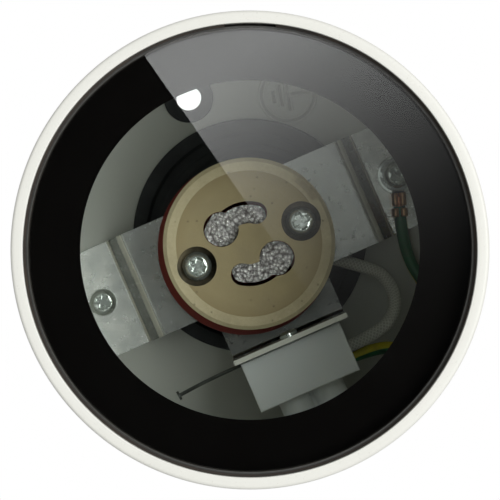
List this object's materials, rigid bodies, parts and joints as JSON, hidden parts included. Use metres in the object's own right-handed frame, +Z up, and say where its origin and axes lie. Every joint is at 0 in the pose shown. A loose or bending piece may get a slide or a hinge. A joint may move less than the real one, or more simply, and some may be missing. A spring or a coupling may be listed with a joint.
{
  "type": "soffit downlight",
  "caption": "Round cast soffit downlight: twist-lock lamp holder on a sheet bracket, terminal block, push-out glass.",
  "frame": {"origin": "centre of the fixing holes' circle on the mounting face, against the soffit", "axes": "+Z up into the soffit along the can's axis, so the glass faces -Z; +X to the right and +Y down in the source picture, which looks up from below"},
  "size_m": [0.07, 0.07, 0.095],
  "materials": {
    "cast_paint": "satin",
    "grey_rubber": "matte",
    "clear_glass": "polished",
    "black_enamel": "gloss",
    "dark_rubber": "matte",
    "zinc_sheet": "satin",
    "zinc_screw": "polished",
    "brass_terminal": "satin",
    "copper_wire": "satin",
    "earth_insulation": "satin",
    "holder_ceramic": "matte",
    "red_insulation": "satin",
    "contact_metal": "satin",
    "white_plastic": "satin",
    "white_sleeve": "matte"
  },
  "bodies": {
    "can": {"housing": "cast_paint", "fixing_grommet_1": "grey_rubber", "fixing_grommet_2": "grey_rubber", "cable_membrane": "grey_rubber", "holder_bracket": "zinc_sheet", "foot_screw": "zinc_screw", "earth_screw": "zinc_screw", "earth_washer": "zinc_screw", "earth_terminal": "brass_terminal", "earth_conductor": "copper_wire", "earth_lead": "earth_insulation", "holder_body": "holder_ceramic", "insulating_disc": "red_insulation", "holder_screws": "zinc_screw", "contact_tail_1": "contact_metal", "contact_tail_2": "contact_metal", "terminal_block": "white_plastic", "block_rivet": "zinc_screw", "block_pin": "zinc_screw", "lamp_lead_a": "white_sleeve", "lamp_lead_b": "white_sleeve"},
    "glass_unit": {"front_glass": "clear_glass", "glass_border": "black_enamel", "glass_gasket": "dark_rubber"},
    "contact_1": {"contact_leaf_1": "contact_metal"},
    "contact_2": {"contact_leaf_2": "contact_metal"}
  },
  "joints": [
    {"name": "glass_pull", "type": "slide", "parent": "can", "child": "glass_unit", "axis": [0, 0, -1], "range_m": [0, 0.06]},
    {"name": "contact_1_press", "type": "slide", "parent": "can", "child": "contact_1", "axis": [0, 0, 1], "range_m": [0, 0.0012], "stiffness_N_per_m": 1500},
    {"name": "contact_2_press", "type": "slide", "parent": "can", "child": "contact_2", "axis": [0, 0, 1], "range_m": [0, 0.0012], "stiffness_N_per_m": 1500}
  ]
}
